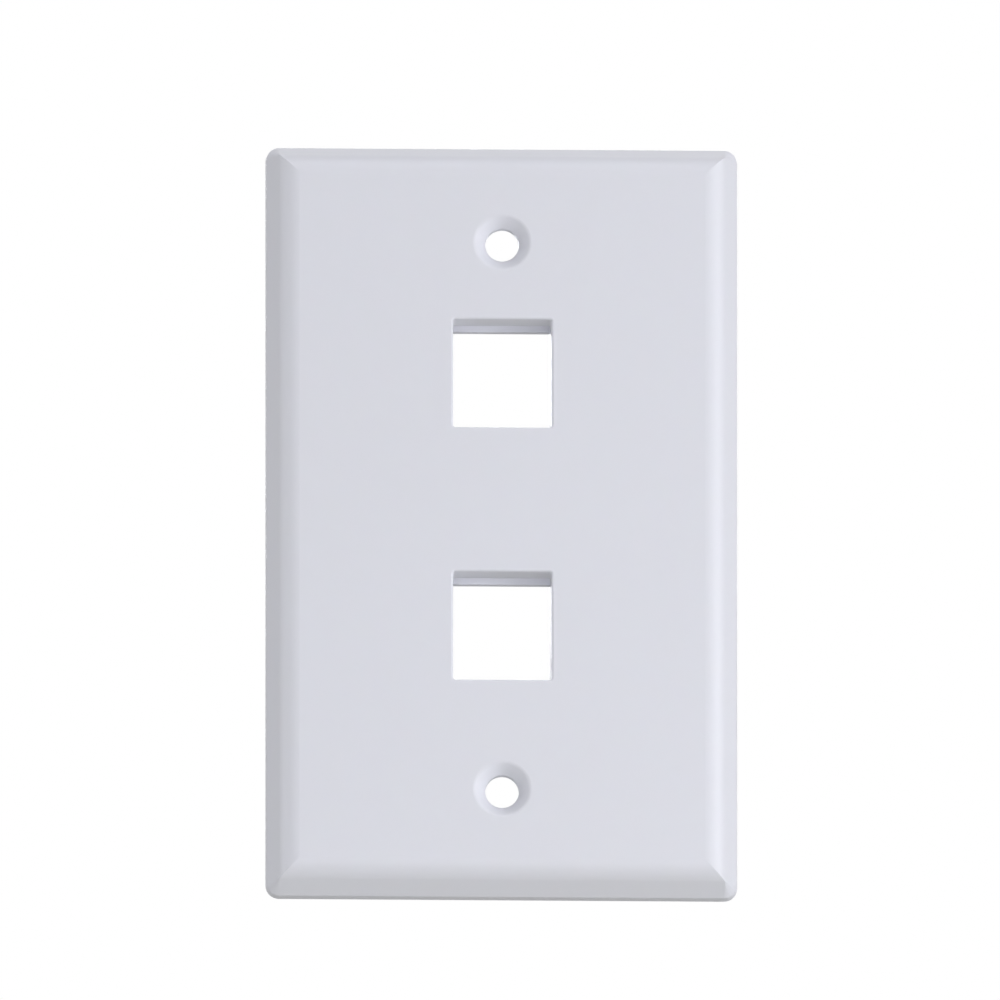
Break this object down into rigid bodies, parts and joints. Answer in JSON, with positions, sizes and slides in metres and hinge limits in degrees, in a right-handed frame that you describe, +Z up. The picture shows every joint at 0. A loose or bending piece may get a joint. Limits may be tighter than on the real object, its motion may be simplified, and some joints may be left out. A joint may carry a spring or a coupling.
{
  "type": "keystone faceplate",
  "caption": "Single-gang wall plate with crowned, bevelled edges, open keystone ports that snap-in jacks fit from behind, and countersunk screw holes.",
  "frame": {"origin": "on the wall plane, which the rear rim lies on, midway between the two screw holes", "axes": "+Z up along the plate's long side; +X across the plate, to the right of someone who faces it; +Y from the room into the wall box, so the front face looks along -Y"},
  "size_m": [0.0698, 0.0099, 0.1142],
  "materials": {
    "faceplate": "satin cool white, as moulded"
  },
  "bodies": {
    "root": {"faceplate": "faceplate"}
  },
  "joints": []
}
